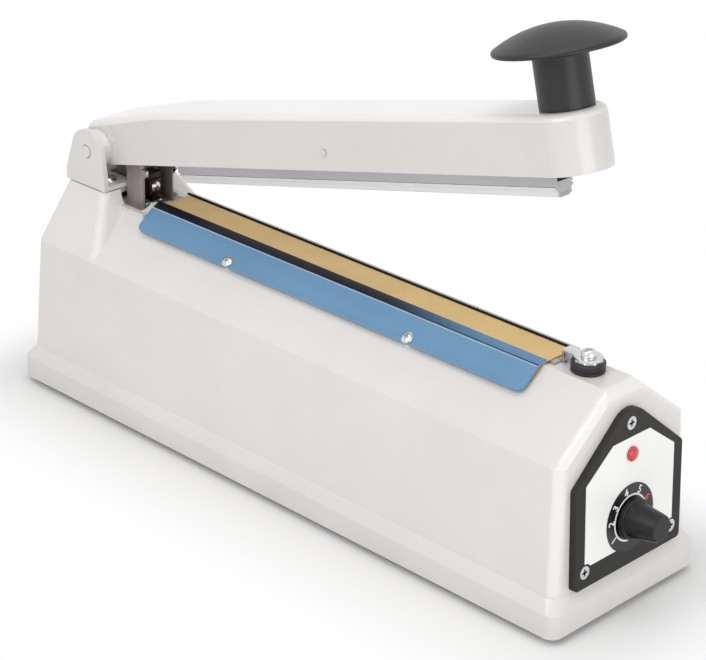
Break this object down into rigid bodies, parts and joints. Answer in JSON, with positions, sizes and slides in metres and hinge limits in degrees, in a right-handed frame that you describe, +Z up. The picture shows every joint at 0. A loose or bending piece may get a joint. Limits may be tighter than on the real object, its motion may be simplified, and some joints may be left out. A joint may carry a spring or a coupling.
{
  "type": "impulse bag sealer",
  "caption": "Bench-top hand impulse sealer: cast housing, hinged arm with a mushroom grip and pressure bar, cloth-covered seal strip, timer dial on the end.",
  "frame": {"origin": "centre of the base: middle of the whole sealer's box in X and Y, on the surface under the feet", "axes": "+X from the arm's hinge towards the timer panel, +Z up, -Y the side that shows the blue cover plate"},
  "size_m": [0.3422, 0.088, 0.225],
  "materials": {
    "cast_enamel": "off-white gloss enamel on a casting",
    "yoke_enamel": "light grey enamel",
    "blue_enamel": "satin blue enamel on sheet",
    "panel_black": "dark grey textured paint",
    "label_white": "white printed film",
    "dial_black": "black printed ring",
    "black_plastic": "satin black moulding",
    "black_rubber": "soft black rubber",
    "red_lens": "clear red lens",
    "bright_steel": "bright plated steel",
    "dark_steel": "dark zinc-plated sheet",
    "plain_steel": "galvanised steel",
    "bar_alloy": "natural aluminium extrusion",
    "silicone": "grey silicone",
    "cloth_tan": "glass cloth coated tan",
    "element_alloy": "resistance ribbon",
    "lug_brass": "brass strip",
    "board_green": "circuit board",
    "core_steel": "varnished laminations",
    "coil_yellow": "taped winding"
  },
  "bodies": {
    "base": {"body_casting": "cast_enamel", "bottom_plate": "plain_steel", "rubber_feet": "black_rubber", "foot_screws": "bright_steel", "hinge_yoke": "yoke_enamel", "yoke_screws": "bright_steel", "hinge_pin": "bright_steel", "pin_clip": "bright_steel", "terminal_guard": "dark_steel", "guard_screws": "bright_steel", "rear_insulator": "black_plastic", "rear_lug": "lug_brass", "rear_terminal_screw": "bright_steel", "return_spring": "bright_steel", "spring_stud": "bright_steel", "micro_switch": "black_plastic", "switch_screws": "bright_steel", "seal_bed": "bar_alloy", "bed_screws": "bright_steel", "insulation_strip": "silicone", "heating_element": "element_alloy", "ptfe_cloth": "cloth_tan", "front_cover_plate": "blue_enamel", "rear_cover_plate": "blue_enamel", "cover_screws": "bright_steel", "front_insulator": "black_plastic", "element_clamp": "bright_steel", "front_terminal_screw": "bright_steel", "front_terminal_nut": "bright_steel", "control_panel": "panel_black", "panel_screws": "bright_steel", "panel_label": "label_white", "dial_plate": "dial_black", "indicator_lamp": "red_lens", "lamp_holder": "black_plastic", "potentiometer": "plain_steel", "pot_nut": "bright_steel", "circuit_board": "board_green", "board_components": "black_plastic", "transformer_core": "core_steel", "transformer_coil": "coil_yellow", "transformer_strap": "plain_steel", "strap_screws": "bright_steel", "mains_gland": "black_plastic", "gland_nut": "black_plastic"},
    "arm": {"upper_arm": "cast_enamel", "hinge_bushes": "lug_brass", "arm_tail": "plain_steel", "handle_knob": "black_plastic", "handle_bolt": "bright_steel", "bar_pivot_pin": "bright_steel"},
    "bar": {"pressure_bar": "bar_alloy", "silicone_strip": "silicone", "bar_saddle": "plain_steel", "saddle_rivets": "bright_steel"},
    "knob": {"timer_knob": "black_plastic", "pot_shaft": "plain_steel"},
    "button": {"switch_button": "label_white"}
  },
  "joints": [
    {"name": "arm_hinge", "type": "hinge", "parent": "base", "child": "arm", "pos_m": [-0.13932, 0, 0.1128], "axis": [0, 1, 0], "range_deg": [0, 14.33], "stiffness_Nm_per_rad": 2, "springref_deg": -34.38, "deforming": ["return_spring"]},
    {"name": "bar_rock", "type": "hinge", "parent": "arm", "child": "bar", "pos_m": [0.00262, 0, 0.14906], "axis": [0, 1, 0], "range_deg": [-0.25, 0.25]},
    {"name": "timer_turn", "type": "hinge", "parent": "base", "child": "knob", "pos_m": [0.15637, 0, 0.03958], "axis": [0.9987, 0, 0.0514], "range_deg": [-280, 0]},
    {"name": "switch_press", "type": "slide", "parent": "base", "child": "button", "axis": [-1, 0, 0], "range_m": [0, 0.001]}
  ],
  "couplings": [
    {"joint": "switch_press", "follows": "arm_hinge", "m_per_rad": 0.00399}
  ]
}
